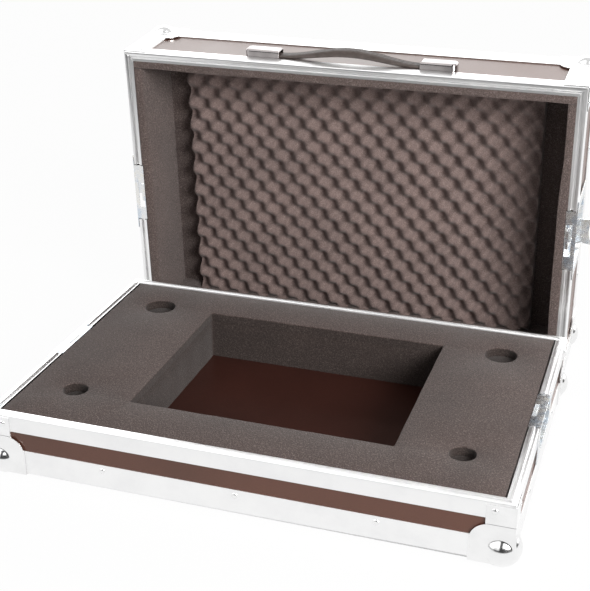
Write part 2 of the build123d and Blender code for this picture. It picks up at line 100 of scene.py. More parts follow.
hook_axis = next(j for j in frame["joints"] if j["name"] == "hook_slide_left")["axis"]
lean = math.atan2(-hook_axis[2], -hook_axis[1])
lid_lift = SHEET * math.cos(lean) - BRACKET_DROP * math.sin(lean)
IN_BASE = Matrix.Translation((-CASE_W / 2, -CASE_D / 2, BASE_LIFT))
IN_LID = (Matrix.Translation((LID_SHIFT - CASE_W / 2, CASE_D / 2 + LID_GAP, lid_lift))
          @ Matrix.Rotation(math.pi / 2 + lean, 4, "X") @ Matrix.Translation((0, 0, -LID_H)))


def turned(x, y, degrees):
    """A wall or corner frame inside a tray: X along the wall, Y inwards."""
    return Matrix.Translation((x, y, 0)) @ Matrix.Rotation(math.radians(degrees), 4, "Z")


NEAR_LEFT, NEAR_RIGHT = turned(0, 0, 0), turned(CASE_W, 0, 90)
FAR_RIGHT, FAR_LEFT = turned(CASE_W, CASE_D, 180), turned(0, CASE_D, -90)
WALLS = {"near": (NEAR_LEFT, CASE_W), "right": (NEAR_RIGHT, CASE_D),
         "far": (FAR_RIGHT, CASE_W), "left": (FAR_LEFT, CASE_D)}
print("the lid leans", round(math.degrees(lean), 3), "degrees")

# %% [markdown]
# The camera stands where the photograph was taken from, found from the straight edges of the
# case. The picture is as good as square, so the 36 mm sensor spans its height.

# %% Camera
camera_data = bpy.data.cameras.new("camera")
camera_data.lens = 75.055
camera_data.sensor_width = 36.0
camera = bpy.data.objects.new("camera", camera_data)
camera.location = (0.41357, -1.24449, 0.76935)
camera.rotation_euler = (math.radians(65.86), 0.0, math.radians(18.28))
bpy.context.scene.collection.objects.link(camera)
bpy.context.scene.camera = camera
bpy.context.scene.view_settings.view_transform = "Standard"
print("camera", tuple(round(v, 3) for v in camera.location))

# %% [markdown]
# A helper that adds one shader node, sets its inputs and links what feeds them. Every material
# below is built with it, so each recipe reads as a short list of nodes.

# %% Node helper


def add_node(tree, kind, inputs=None, **settings):
    """Add a node; an input's value may be a number, a colour or another node's output."""
    made = tree.nodes.new(kind)
    for key, value in settings.items():
        setattr(made, key, value)
    for key, value in (inputs or {}).items():
        if isinstance(value, bpy.types.NodeSocket):
            tree.links.new(value, made.inputs[key])
        else:
            made.inputs[key].default_value = value
    return made


def object_coordinates(tree, scale=(1, 1, 1), turn=(0, 0, 0)):
    """Object coordinates through a Mapping node, so a pattern can be stretched or turned."""
    place = add_node(tree, "ShaderNodeTexCoord")
    return add_node(tree, "ShaderNodeMapping", {"Vector": place.outputs["Object"],
                                                "Scale": scale, "Rotation": turn}).outputs[0]


def ramp(tree, factor, *stops):
    """Colour ramp from (position, colour) stops."""
    made = add_node(tree, "ShaderNodeValToRGB", {"Fac": factor})
    points = made.color_ramp.elements
    while len(points) < len(stops):
        points.new(0.5)
    for point, (position, colour) in zip(points, stops):
        point.position, point.color = position, (*colour, 1)
    return made.outputs["Color"]


def between(tree, factor, low, high):
    """Carry a 0 to 1 factor over to another range."""
    return add_node(tree, "ShaderNodeMapRange", {"Value": factor, "To Min": low,
                                                 "To Max": high}).outputs["Result"]


def principled(name, **sockets):
    """New material with its Principled shader; sockets name plain values."""
    material = bpy.data.materials.new(name)
    material.use_nodes = True
    shader = material.node_tree.nodes["Principled BSDF"]
    for key, value in sockets.items():
        shader.inputs[key.replace("_", " ")].default_value = value
    return material, material.node_tree, shader


def noise_of(tree, where, scale, detail=3.0, rough=0.5):
    """Noise value of a given scale, in features a metre."""
    return add_node(tree, "ShaderNodeTexNoise", {"Vector": where, "Scale": scale, "Detail": detail,
                                                 "Roughness": rough}).outputs["Fac"]


def bump(tree, shader, height, depth, strength=1.0):
    """Bump from a 0 to 1 height, depth in metres."""
    made = add_node(tree, "ShaderNodeBump", {"Height": height, "Distance": depth, "Strength": strength})
    tree.links.new(made.outputs["Normal"], shader.inputs["Normal"])


# %% [markdown]
# Light. The photograph was made in a white studio: a big soft light to the right of the camera, a
# white floor, and a bright background that glances off everything lying
# flat. For the diffuse light the world is an even white. Bare metal shows what it mirrors, so
# mirrored rays get their own room: a grey room with a bright back, two bright soft boxes towards
# the camera with a dark strut between them, and under them a dark band down to the floor. That
# puts the dark crescents and the paired highlights into the ball corners.

# %% World
world = bpy.data.worlds.new("studio")
world.use_nodes = True
bpy.context.scene.world = world
tree = world.node_tree
tree.nodes.clear()
direction = add_node(tree, "ShaderNodeTexCoord").outputs["Generated"]
toward = add_node(tree, "ShaderNodeSeparateXYZ", {"Vector": direction}).outputs


def step_between(tree, value, start, end):
    """Smooth 0 to 1 step of a value."""
    return add_node(tree, "ShaderNodeMapRange", {"Value": value, "From Min": start, "From Max": end},
                    interpolation_type="SMOOTHSTEP").outputs["Result"]


def product(tree, *values):
    """Product of several outputs."""
    made = values[0]
    for value in values[1:]:
        made = add_node(tree, "ShaderNodeMath", {0: made, 1: value}, operation="MULTIPLY").outputs[0]
    return made


def inside(tree, value, low, high, soft=0.07):
    """1 where a value lies between two limits, with soft ends."""
    return product(tree, step_between(tree, value, low - soft, low), step_between(tree, value, high + soft, high))


x, y, z = toward["X"], toward["Y"], toward["Z"]
to_camera = step_between(tree, y, 0.30, 0.05)
band = product(tree, inside(tree, z, 0.0, 0.30), step_between(tree, x, -0.66, -0.54), step_between(tree, y, 0.75, 0.55))
strut = product(tree, inside(tree, x, -0.05, 0.13), inside(tree, z, 0.2, 0.93), to_camera)
right_box = product(tree, inside(tree, x, 0.22, 0.95), inside(tree, z, 0.42, 1.1), to_camera)
left_box = product(tree, inside(tree, x, -0.97, -0.14), inside(tree, z, 0.14, 1.1), to_camera)
glare = product(tree, step_between(tree, y, 0.30, 0.60), inside(tree, z, 0.12, 0.62, 0.14))
dark = add_node(tree, "ShaderNodeMath", {0: band, 1: strut}, operation="MAXIMUM").outputs[0]
boxes = add_node(tree, "ShaderNodeMath", {0: right_box, 1: left_box}, operation="MAXIMUM").outputs[0]
room = add_node(tree, "ShaderNodeMapRange", {"Value": dark, "To Min": 0.78, "To Max": 0.04}).outputs["Result"]
for share, strength in ((boxes, 0.9), (glare, 2.0)):
    room = add_node(tree, "ShaderNodeMath", {0: share, 1: strength, 2: room}, operation="MULTIPLY_ADD").outputs[0]
rays = add_node(tree, "ShaderNodeLightPath").outputs
seen = add_node(tree, "ShaderNodeMath", {0: rays["Is Camera Ray"], 1: rays["Is Transmission Ray"]},
                operation="MAXIMUM")
soft = add_node(tree, "ShaderNodeBackground", {"Color": (1, 0.985, 0.97, 1), "Strength": 0.24})
mirror_room = add_node(tree, "ShaderNodeBackground", {"Color": room, "Strength": 1.0})
white = add_node(tree, "ShaderNodeBackground", {"Color": (1, 1, 1, 1), "Strength": 1.0})
gloss = add_node(tree, "ShaderNodeMixShader", {"Fac": rays["Is Glossy Ray"],
                                               1: soft.outputs[0], 2: mirror_room.outputs[0]})
shown = add_node(tree, "ShaderNodeMixShader", {"Fac": seen.outputs[0], 1: gloss.outputs[0],
                                               2: white.outputs[0]})
add_node(tree, "ShaderNodeOutputWorld", {"Surface": shown.outputs[0]})
print("world ready")

# %% [markdown]
# One lamp, where the right highlight of the ball corners and the shading of the profiled foam
# both put it. The floor is pale and even, and mirrored rays find it dark in front of the sweep
# of paper, which ends a hand's breadth before the case: that gives the handle's caps and the
# balls their dark faces.

# %% Lamp and floor


def soft_lamp(name, place, aim, width, height, watts, colour=(1, 1, 1)):
    """A rectangular soft lamp that faces a point."""
    data = bpy.data.lights.new(name, "AREA")
    data.shape, data.size, data.size_y = "RECTANGLE", width, height
    data.energy, data.color = watts, colour
    lamp = bpy.data.objects.new(name, data)
    lamp.location = place
    lamp.rotation_euler = (Vector(aim) - Vector(place)).to_track_quat("-Z", "Y").to_euler()
    bpy.context.scene.collection.objects.link(lamp)
    print(name, watts, "W")


soft_lamp("key_lamp", (1.80, -1.45, 1.30), (0, 0.2, 0.2), 1.2, 1.2, 92, (1, 0.985, 0.97))

floor_mesh = bpy.data.meshes.new("floor")
edge = 12.0
floor_mesh.from_pydata([(-edge, -edge, 0), (edge, -edge, 0), (edge, edge, 0), (-edge, edge, 0)],
                       [], [(0, 1, 2, 3)])
floor = bpy.data.objects.new("floor", floor_mesh)
floor.location.z = -0.0004
bpy.context.scene.collection.objects.link(floor)
floor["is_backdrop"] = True
floor_paint, tree, shader = principled("floor_paint", Roughness=0.9)
shader.inputs["Base Color"].default_value = (0.82, 0.82, 0.82, 1)
rays = add_node(tree, "ShaderNodeLightPath")
seen = add_node(tree, "ShaderNodeMath", {0: rays.outputs["Is Camera Ray"],
                                         1: rays.outputs["Is Glossy Ray"]}, operation="MAXIMUM")
share = add_node(tree, "ShaderNodeMath", {0: seen.outputs[0], 1: 0.97}, operation="MULTIPLY")
ahead = add_node(tree, "ShaderNodeSeparateXYZ", {"Vector": object_coordinates(tree)}).outputs["Y"]
sweep = step_between(tree, ahead, -0.62, -0.45)
lit = add_node(tree, "ShaderNodeMath", {0: rays.outputs["Is Camera Ray"], 1: sweep}, operation="MAXIMUM")
level = add_node(tree, "ShaderNodeMapRange", {"Value": lit.outputs[0], "To Min": 0.08, "To Max": 1.0})
even = add_node(tree, "ShaderNodeEmission", {"Color": (1, 1, 1, 1), "Strength": level.outputs["Result"]})
mixed = add_node(tree, "ShaderNodeMixShader", {"Fac": share.outputs[0], 1: shader.outputs[0],
                                               2: even.outputs[0]})
tree.links.new(mixed.outputs[0], tree.nodes["Material Output"].inputs["Surface"])
floor_mesh.materials.append(floor_paint)

# %% [markdown]
# ## Materials
# The profiles are drawn aluminium: pale, satin, with fine lines along their length from the
# die and faint smudges. The lines are a noise stretched along one axis, so there is one
# material for each direction in which a profile can run.

# %% Drawn aluminium, one for each direction


def drawn_aluminium(name, along):
    """Fine die lines along one axis of the case; the lid's are turned with its lean."""
    material, tree, shader = principled(name, Metallic=1.0, Roughness=0.3, Anisotropic=0.25)
    stretch = [620.0 if axis != along else 5.0 for axis in "XYZ"]
    lines = noise_of(tree, object_coordinates(tree, scale=stretch), 1.0, 2.0)
    smudge = noise_of(tree, object_coordinates(tree), 22.0, 5.0, 0.62)
    colour = ramp(tree, smudge, (0.30, (0.87, 0.87, 0.875)), (0.55, (0.92, 0.92, 0.92)),
                  (0.8, (0.94, 0.94, 0.935)))
    tree.links.new(colour, shader.inputs["Base Color"])
    rough = add_node(tree, "ShaderNodeMath", {0: between(tree, lines, 0.27, 0.37),
                                              1: between(tree, smudge, -0.04, 0.05)})
    tree.links.new(rough.outputs[0], shader.inputs["Roughness"])
    bump(tree, shader, lines, 0.00003, 0.4)
    return material


aluminium = {axis: drawn_aluminium(f"drawn_aluminium_{axis.lower()}", axis) for axis in "XYZ"}
print("aluminium", sorted(aluminium))

# %% [markdown]
# Ball corners, brackets and rivets are steel, pressed and zinc plated: brighter than the
# profiles, with a slow waviness and a few fine rub marks. The latches are plated harder and
# carry the faint blue and straw tints of passivated zinc. The handle's caps are polished and
# nickel plated, a warm dark grey that mirrors sharply.

# %% Pressed and plated steel


def plated(name, tints, rough_low, rough_high, tint_scale, wave):
    """Plated steel: tinted in slow patches, rubbed here and there."""
    material, tree, shader = principled(name, Metallic=1.0, Roughness=0.2)
    place = object_coordinates(tree)
    patches = noise_of(tree, place, tint_scale, 3.0)
    stops = [(0.3 + 0.4 * i / (len(tints) - 1), tint) for i, tint in enumerate(tints)]
    tree.links.new(ramp(tree, patches, *stops), shader.inputs["Base Color"])
    rubs = noise_of(tree, object_coordinates(tree, scale=(1, 1, 6), turn=(0.6, 0.3, 0.9)), 260.0, 6.0, 0.7)
    tree.links.new(between(tree, rubs, rough_low, rough_high), shader.inputs["Roughness"])
    bump(tree, shader, noise_of(tree, place, 55.0, 2.0), wave, 0.6)
    return material


pressed_steel = plated("pressed_steel", ((0.84, 0.84, 0.84), (0.92, 0.92, 0.92)), 0.08, 0.22, 40.0, 0.0003)
plated_steel = plated("plated_steel", ((0.60, 0.67, 0.75), (0.80, 0.81, 0.82), (0.84, 0.82, 0.77)),
                      0.16, 0.36, 90.0, 0.0002)
cap_steel = plated("cap_steel", ((0.27, 0.25, 0.25), (0.36, 0.335, 0.33)), 0.05, 0.12, 60.0, 0.0001)
print("steel", pressed_steel.name, plated_steel.name, cap_steel.name)

# %% [markdown]
# The panels are plywood under a dark red-brown phenolic film. The film is semi-gloss, with a
# faint orange peel and tiny paler flecks, and it is scuffed a little duller in patches.

# %% Brown laminate


def film_faced(name, deep, body, fleck_colour, coat):
    """Phenolic film: a brown with paler flecks under a clear coat."""
    material, tree, shader = principled(name, Roughness=0.3, IOR=1.5)
    shader.inputs["Coat Weight"].default_value = coat
    shader.inputs["Coat Roughness"].default_value = 0.12
    for part in ("Specular Tint", "Coat Tint"):
        shader.inputs[part].default_value = (1.0, 0.87, 0.80, 1.0)
    place = object_coordinates(tree)
    fleck = noise_of(tree, place, 1300.0, 2.0)
    cloud = noise_of(tree, place, 9.0, 4.0)
    film = ramp(tree, fleck, (0.35, deep), (0.60, body), (0.78, fleck_colour))
    shade = ramp(tree, cloud, (0.3, (0.84, 0.84, 0.84)), (0.7, (1.08, 1.06, 1.05)))
    tinted = add_node(tree, "ShaderNodeMix", {"Factor": 1.0, 6: film, 7: shade}, data_type="RGBA",
                      blend_type="MULTIPLY")
    tree.links.new(tinted.outputs[2], shader.inputs["Base Color"])
    tree.links.new(between(tree, cloud, 0.26, 0.44), shader.inputs["Roughness"])
    bump(tree, shader, noise_of(tree, place, 700.0, 2.0), 0.0001, 0.5)
    return material


laminate = film_faced("brown_laminate", (0.070, 0.028, 0.019), (0.093, 0.039, 0.027), (0.130, 0.062, 0.047), 0.15)
inner_laminate = film_faced("inner_laminate", (0.030, 0.0085, 0.006), (0.045, 0.014, 0.010),
                            (0.075, 0.030, 0.022), 0.25)
print("panels", laminate.name, inner_laminate.name)

# %% [markdown]
# The foams are closed-cell sheets cut with a blade, so the cut cells speckle every face: pale
# walls round dark pits. Voronoi cells give the pits, and two noises the speckle and the slow
# change of tone. The profiled sheet has finer cells and a warmer brown. The base foam has painted
# shade on the walls of its well and foot holes.

# %% Foam


def cut_foam(name, pit, body, wall, cell, depth, shade_below=None):
    """Foam with cut cells of one size, in metres; three colours from pit to cell wall.

    Faces below the optional height get painted shade, their colour darkened to 0.38: it falls on the walls of the cut
    holes.
    """
    material, tree, shader = principled(name, Roughness=0.95)
    shader.inputs["Specular IOR Level"].default_value = 0.25
    shader.inputs["Sheen Weight"].default_value = 0.15
    place = object_coordinates(tree)
    cells = add_node(tree, "ShaderNodeTexVoronoi", {"Vector": place, "Scale": 1.0 / cell}).outputs["Distance"]
    grain = noise_of(tree, place, 0.55 / cell, 4.0, 0.75)
    mixed = add_node(tree, "ShaderNodeMath", {0: cells, 1: grain}, operation="MULTIPLY_ADD")
    mixed.inputs[2].default_value = 0.12
    speckle = ramp(tree, mixed.outputs[0], (0.20, pit), (0.42, body), (0.66, wall))
    slow = ramp(tree, noise_of(tree, place, 14.0, 3.0), (0.3, (0.90, 0.90, 0.90)), (0.7, (1.08, 1.07, 1.06)))
    colour = add_node(tree, "ShaderNodeMix", {"Factor": 1.0, 6: speckle, 7: slow}, data_type="RGBA",
                      blend_type="MULTIPLY")
    shown = colour.outputs[2]
    # Painted shade: faces below the given height, the walls of the well and foot holes, are darkened to 0.38 over 1.5
    # mm.
    if shade_below is not None:
        height = add_node(tree, "ShaderNodeSeparateXYZ", {"Vector": place}).outputs["Z"]
        share = add_node(tree, "ShaderNodeMapRange", {"Value": height, "From Min": shade_below,
                                                      "From Max": shade_below + 0.0015}).outputs["Result"]
        painted_shade = ramp(tree, share, (0.0, (0.38, 0.37, 0.36)), (1.0, (1, 1, 1)))
        shown = add_node(tree, "ShaderNodeMix", {"Factor": 1.0, 6: shown, 7: painted_shade}, data_type="RGBA",
                         blend_type="MULTIPLY").outputs[2]
    tree.links.new(shown, shader.inputs["Base Color"])
    bump(tree, shader, mixed.outputs[0], depth, 0.8)
    return material


FOAM_TONES = ((0.052, 0.037, 0.034), (0.115, 0.087, 0.080), (0.205, 0.165, 0.155))
sheet_foam = cut_foam("sheet_foam", *FOAM_TONES, 0.0013, 0.0008)
# The base foam gets painted shade on its faces more than 2.2 mm below its top.
base_foam = cut_foam("base_foam", *FOAM_TONES, 0.0013, 0.0008, shade_below=BASE_LIFT + BASE_H - 0.0022)
profile_foam = cut_foam("profile_foam", (0.105, 0.074, 0.068), (0.185, 0.138, 0.128), (0.250, 0.196, 0.184),
                        0.0011, 0.0004)
print("foam", sheet_foam.name, profile_foam.name)

# %% [markdown]
# The strap is moulded from a dark brown plastic with a fine leather-like grain.

# %% Strap plastic
strap_plastic, tree, shader = principled("strap_plastic", Roughness=0.42)
place = object_coordinates(tree)
grain = add_node(tree, "ShaderNodeTexVoronoi", {"Vector": place, "Scale": 900.0}).outputs["Distance"]
tree.links.new(ramp(tree, noise_of(tree, place, 120.0), (0.3, (0.050, 0.038, 0.034)),
                    (0.7, (0.085, 0.068, 0.062))), shader.inputs["Base Color"])
tree.links.new(between(tree, grain, 0.34, 0.52), shader.inputs["Roughness"])
bump(tree, shader, grain, 0.00015, 0.5)

# %% [markdown]
# The CAD nodes whose shape is right stay as they are and only get their finish. Profiles take
# the aluminium of the direction that they run in.

# %% Finishes of the carried-over CAD nodes


def finish_of(name):
    """The material of one carried-over node."""
    if name == "base_floor_panel":
        return inner_laminate
    if name.endswith("_panel"):
        return laminate
    if "bracket" in name or "ball" in name:
        return pressed_steel
    if name.endswith("corner_angles"):
        return aluminium["Z" if name.startswith("base") else "Y"]
    if "_rim_" in name and not name.startswith("latch") or "_edge_" in name:
        if name.endswith(("left", "right")):
            return aluminium["Y" if name.startswith("base") else "Z"]
        return aluminium["X"]
    if "foam" in name or "lining" in name:
        return sheet_foam
    if name == "handle_caps":
        return cap_steel
    return plated_steel


for name, node in frame["nodes"].items():
    node.data.materials.clear()
    node.data.materials.append(finish_of(name))
print("dressed", len(frame["nodes"]), "nodes")

# %% [markdown]
# ## Making pieces
# Each piece is built as a mesh in its tray, carried to its place, and its object stays at the
# origin. One helper does that, sets smooth shading and the rest of what every piece needs.

# %% Piece helper


def add_piece(name, mesh, place, material, body, sharp=38.0):
    """Link a tray-space mesh as a finished piece that rides on a body."""
    mesh.transform(place)
    mesh.materials.clear()
    mesh.materials.append(material)
    mesh.shade_smooth()
    mesh.set_sharp_from_angle(angle=math.radians(sharp))
    piece = bpy.data.objects.new(name, mesh)
    bpy.context.scene.collection.objects.link(piece)
    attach(piece, body)
    print(name, len(mesh.polygons), "faces")
    return piece


def mesh_from(name, build):
    """Mesh from a function that fills a bmesh; its normals end up pointing outwards."""
    mesh, work = bpy.data.meshes.new(name), bmesh.new()
    build(work)
    bmesh.ops.remove_doubles(work, verts=work.verts, dist=1e-6)
    bmesh.ops.recalc_face_normals(work, faces=work.faces)
    work.to_mesh(mesh)
    work.free()
    return mesh


def grid_skin(work, rows, closed=True):
    """Quads between rows of points; each row is a ring if closed."""
    verts = [[work.verts.new(point) for point in row] for row in rows]
    count = len(rows[0])
    for row, following in zip(verts, verts[1:]):
        for i in range(count if closed else count - 1):
            k = (i + 1) % count
            work.faces.new((row[i], row[k], following[k], following[i]))
    return verts


# %% [markdown]
# ## Foam of the base
# Two sheets lie on each other: the upper has the well and four foot holes, the lower only the
# well. They were cut by hand, so an edge wanders by a fraction of a millimetre and is slightly
# rounded. Each outline is a loop of points, and the rounded edge is a few rings of that loop
# moved into the foam. Two fills close the faces.

# %% Loops and slabs of foam


def box_loop(x0, x1, y0, y1, round_r, step=0.007):
    """Closed loop of points round a rectangle with rounded corners."""
    corners = [(x1 - round_r, y1 - round_r, 0), (x0 + round_r, y1 - round_r, 90),
               (x0 + round_r, y0 + round_r, 180), (x1 - round_r, y0 + round_r, 270)]
    arcs = [[(x + round_r * math.cos(math.radians(a + t)), y + round_r * math.sin(math.radians(a + t)))
             for t in (0, 30, 60, 90)] for x, y, a in corners]
    loop = []
    for arc, following in zip(arcs, arcs[1:] + arcs[:1]):
        loop += arc
        start, end = Vector(arc[-1]), Vector(following[0])
        steps = max(1, round((end - start).length / step))
        loop += [tuple(start.lerp(end, k / steps)) for k in range(1, steps)]
    return loop


def round_loop(x, y, radius, count=44):
    """Closed loop of points round a circle."""
    turns = [2 * math.pi * k / count for k in range(count)]
    return [(x + radius * math.cos(t), y + radius * math.sin(t)) for t in turns]


def moved_loop(loop, offset, wander, seed):
    """The loop moved to its left by an offset, plus a hand-cut wander."""
    made = []
    for i, (x, y) in enumerate(loop):
        before, here, after = Vector(loop[i - 1]), Vector((x, y)), Vector(loop[(i + 1) % len(loop)])
        first, second = (here - before).normalized(), (after - here).normalized()
        left = Vector((-first.y - second.y, first.x + second.x))
        left = left / max(0.5, 1 + first.dot(second))
        cut = wander * noise.noise(Vector((x * 28, y * 28, seed)))
        made.append(here + left * (offset + cut))
    return made


def foam_slab(name, outer, holes, low, high, edge=0.0011, wander=0.0007, seed=1.0):
    """A flat sheet of foam between two heights, with holes, its upper edges rounded."""
    levels = [(0, low), (0, low + 0.35 * (high - low)), (0, low + 0.7 * (high - low)), (0, high - edge),
              (0.3 * edge, high - 0.3 * edge), (edge, high)]

    def build(work):
        fills = {low: [], high: []}
        loops = [outer] + [list(reversed(hole)) for hole in holes]
        for k, loop in enumerate(loops):
            rows = [[(*point, z) for point in moved_loop(loop, offset, wander, seed + k)]
                    for offset, z in levels]
            verts = grid_skin(work, rows)
            for row, z in ((verts[0], low), (verts[-1], high)):
                ring = zip(row, row[1:] + row[:1])
                fills[z] += [work.edges.get(pair) or work.edges.new(pair) for pair in ring]
        for edges in fills.values():
            bmesh.ops.triangle_fill(work, use_beauty=True, edges=edges)

    return mesh_from(name, build)


# %% Base foam
RIM_TOP, FOOT_LAYER = 0.012, 0.012
WELL_W, WELL_D, WELL_OFF_Y = 0.312, 0.255, 0.0015
FOOT_SPAN = 0.458
FEET = [(0.0815, 0.0150), (CASE_D - 0.075, 0.0200)]
CLEAR = 0.0002

well = box_loop(CASE_W / 2 - WELL_W / 2, CASE_W / 2 + WELL_W / 2, CASE_D / 2 + WELL_OFF_Y - WELL_D / 2,
                CASE_D / 2 + WELL_OFF_Y + WELL_D / 2, 0.0012)
feet = [round_loop(CASE_W / 2 + side * FOOT_SPAN / 2, y, radius) for y, radius in FEET for side in (-1, 1)]
top_sheet = foam_slab("foam_top_sheet", box_loop(RIM_TOP + 0.0018, CASE_W - RIM_TOP - 0.0018, RIM_TOP + CLEAR,
                                                 CASE_D - RIM_TOP - CLEAR, 0.002),
                      [well] + feet, BASE_H - FOOT_LAYER + CLEAR, BASE_H - 0.0003)
top_sheet = add_piece("foam_top_sheet", top_sheet, IN_BASE, base_foam, "base")
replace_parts(top_sheet, "base_foam_top")
keeper_room = 0.0138
lower_sheet = foam_slab("foam_lower_sheet", box_loop(keeper_room, CASE_W - keeper_room, WALL + CLEAR,
                                                     CASE_D - WALL - CLEAR, 0.002),
                        [well], WALL + CLEAR, BASE_H - FOOT_LAYER, seed=7.0)
lower_sheet = add_piece("foam_lower_sheet", lower_sheet, IN_BASE, base_foam, "base")
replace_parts(lower_sheet, "base_foam_bottom")

# %% [markdown]
# ## Foam of the lid
# A flat sheet lies on the inside of the top, and a lining strip stands along each wall. The
# side strips are pressed inwards by the backs of the latch dishes, which shows as a gentle
# bow half way up. A strip is a section swept along its wall.

# %% Flat sheet in the lid
back_sheet = foam_slab("lid_back_sheet", box_loop(WALL + CLEAR, CASE_W - WALL - CLEAR, WALL + CLEAR,
                                                  CASE_D - WALL - CLEAR, 0.002),
                       [], WALL + CLEAR, 0.0185, seed=11.0)
back_sheet = add_piece("lid_back_sheet", back_sheet, IN_LID, sheet_foam, "lid")
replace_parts(back_sheet, "lid_back_foam")

# %% Lining strips of the lid
LINING_IN, FOAM_TOP, STEP = 0.022, 0.0185, 0.101
DISH_SPAN, DISH_LOW, DISH_ROOM, DISH_BACK, HEAD_TOP = 0.041, 0.042, 0.0156, 0.0136, 0.090
STRIP_ROUND = 0.0012


def smooth(value, start, end):
    """Smooth step from 0 at start to 1 at end."""
    t = min(1.0, max(0.0, (value - start) / (end - start)))
    return t * t * (3 - 2 * t)


def strip_bow(height_up):
    """How far a side strip is pushed in, at a height up the standing lid."""
    above = 1 - smooth(height_up, 0.235, 0.315)
    below = 0.45 + 0.55 * smooth(height_up, 0.04, 0.165)
    return 0.0024 * above * below


def strip_section(x, half_length, side, seed):
    """Closed section of a strip at a place along its wall, as (inwards, up) points."""
    in_dish = side and abs(x) < DISH_SPAN
    back, ledge = (DISH_ROOM, DISH_LOW) if in_dish else (RIM_TOP + CLEAR, STEP)
    near_rim = DISH_BACK if in_dish else back
    bow = strip_bow(side * x + CASE_D / 2) if side else 0.0
    face = [(FOAM_TOP + (LID_H - STRIP_ROUND - FOAM_TOP) * k / 12) for k in range(13)]
    inner = []
    for z in face:
        wave = 0.0009 * noise.noise(Vector((x * 14, z * 20, seed))) * smooth(z, FOAM_TOP, 0.05)
        inner.append((LINING_IN + bow * smooth(z, 0.02, 0.09) + wave, z))
    crown = inner[-1][0]
    curve = [(crown - 0.3 * STRIP_ROUND, LID_H - 0.3 * STRIP_ROUND), (crown - STRIP_ROUND, LID_H)]
    outer = [(near_rim + 0.0006, LID_H), (near_rim, LID_H - 0.0006), (near_rim, HEAD_TOP), (back, HEAD_TOP),
             (back, ledge), (WALL + CLEAR, ledge), (WALL + CLEAR, FOAM_TOP + CLEAR)]
    return inner + curve + outer


def lining_strip(name, wall, margin, side, seed):
    """A strip along one wall, its two ends closed."""
    place, length = WALLS[wall]
    half = length / 2 - margin
    marks = [-half + 2 * half * k / 90 for k in range(91)]
    if side:
        marks = [m for m in marks if abs(abs(m) - DISH_SPAN) > 0.003]
        marks += [s * (DISH_SPAN + d) for s in (-1, 1) for d in (-0.0002, 0.0002)]

    def build(work):
        rows = [[(x + length / 2, u, z) for u, z in strip_section(x, half, side, seed)] for x in sorted(marks)]
        verts = grid_skin(work, rows)
        for row in (verts[0], verts[-1]):
            work.faces.new(row)

    strip = add_piece(name, mesh_from(name, build), IN_LID @ place, sheet_foam, "lid")
    return strip


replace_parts(lining_strip("lining_strip_rear", "near", RIM_TOP + CLEAR, 0, 3.0), "lid_lining_rear")
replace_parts(lining_strip("lining_strip_front", "far", RIM_TOP + CLEAR, 0, 5.0), "lid_lining_front")
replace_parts(lining_strip("lining_strip_left", "left", LINING_IN + 0.0004, -1, 8.0), "lid_lining_left")
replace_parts(lining_strip("lining_strip_right", "right", LINING_IN + 0.0004, 1, 9.0), "lid_lining_right")

# %% [markdown]
# ## Profiled sheet
# This foam is squeezed between rollers while a blade slits it, so its face is a regular field
# of peaks and hollows: the height follows a cosine across times a cosine along, with the peaks
# a little broader than the hollows, and the two pitches differ a little as the soft sheet
# stretches. A Geometry Nodes tree builds a block with a fine grid and lifts each point of its
# upper face to that height. Pitches, base, bump and broadness are inputs. Their values were
# fitted to the shading of the photograph's sheet.

# %% Geometry Nodes helper


def geometry_tree(name, inputs):
    """Empty tree with a geometry output and named inputs: label -> (socket type, value)."""
    tree = bpy.data.node_groups.new(name, "GeometryNodeTree")
    tree.interface.new_socket("Geometry", in_out="OUTPUT", socket_type="NodeSocketGeometry")
    for label, (kind, value) in inputs.items():
        socket = tree.interface.new_socket(label, in_out="INPUT", socket_type=kind)
        if value is not None:
            socket.default_value = value
    return tree, tree.nodes.new("NodeGroupInput").outputs, tree.nodes.new("NodeGroupOutput")


def close_tree(tree, out, geometry, material):
    """End a tree in Realize Instances and Set Material."""
    real = add_node(tree, "GeometryNodeRealizeInstances", {"Geometry": geometry})
    painted = add_node(tree, "GeometryNodeSetMaterial", {"Geometry": real.outputs[0], "Material": material})
    tree.links.new(painted.outputs[0], out.inputs[0])


def math_node(tree, operation, first, second=0.0, third=None):
    """Output of a Math node."""
    inputs = {0: first, 1: second} if third is None else {0: first, 1: second, 2: third}
    return add_node(tree, "ShaderNodeMath", inputs, operation=operation).outputs[0]


def grown_mesh(name, tree, values, carrier=None):
    """Run a tree on a carrier mesh and return the result as a plain mesh."""
    host = bpy.data.objects.new(name + "_host", carrier or bpy.data.meshes.new(name + "_host"))
    bpy.context.scene.collection.objects.link(host)
    modifier = host.modifiers.new("grow", "NODES")
    modifier.node_group = tree
    for item in tree.interface.items_tree:
        if item.in_out == "INPUT" and item.name in values:
            modifier[item.identifier] = values[item.name]
    bpy.context.view_layer.update()
    seen = host.evaluated_get(bpy.context.evaluated_depsgraph_get())
    mesh = bpy.data.meshes.new_from_object(seen)
    bpy.data.objects.remove(host)
    mesh.name = name
    return mesh


